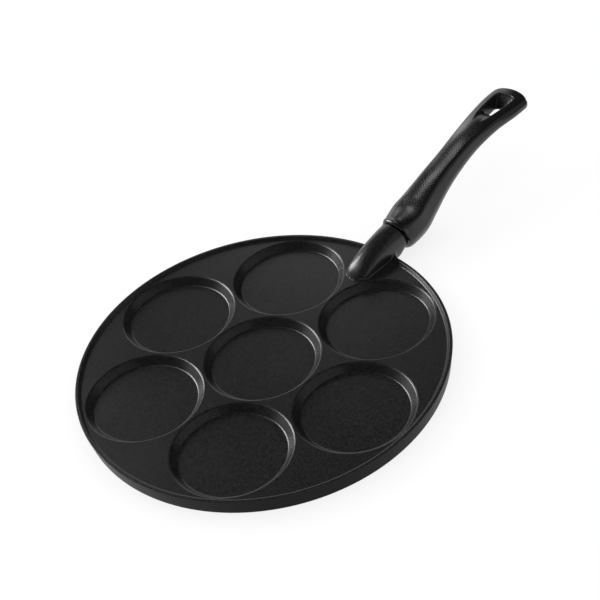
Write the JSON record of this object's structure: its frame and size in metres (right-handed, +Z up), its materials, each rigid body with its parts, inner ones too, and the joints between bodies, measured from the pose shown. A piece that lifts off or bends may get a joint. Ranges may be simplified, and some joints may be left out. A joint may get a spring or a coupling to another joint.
{
  "type": "plett pan",
  "caption": "Round cast plett pan with shallow round wells for small pancakes, a low rim and a curved moulded handle with a hang slot.",
  "frame": {"origin": "centre of the round plate, on the base plane that the pan stands on", "axes": "+X along the handle, +Z up out of the wells"},
  "size_m": [0.4399, 0.2678, 0.0572],
  "materials": {
    "coat": "black non-stick coat, satin",
    "phenolic": "matt black, fine stippled top panel",
    "screw_steel": "zinc plated",
    "spring_steel": "plain spring steel"
  },
  "bodies": {
    "root": {"pan_casting": "coat", "handle": "phenolic", "handle_screw": "screw_steel", "lock_washer": "spring_steel"}
  },
  "joints": []
}
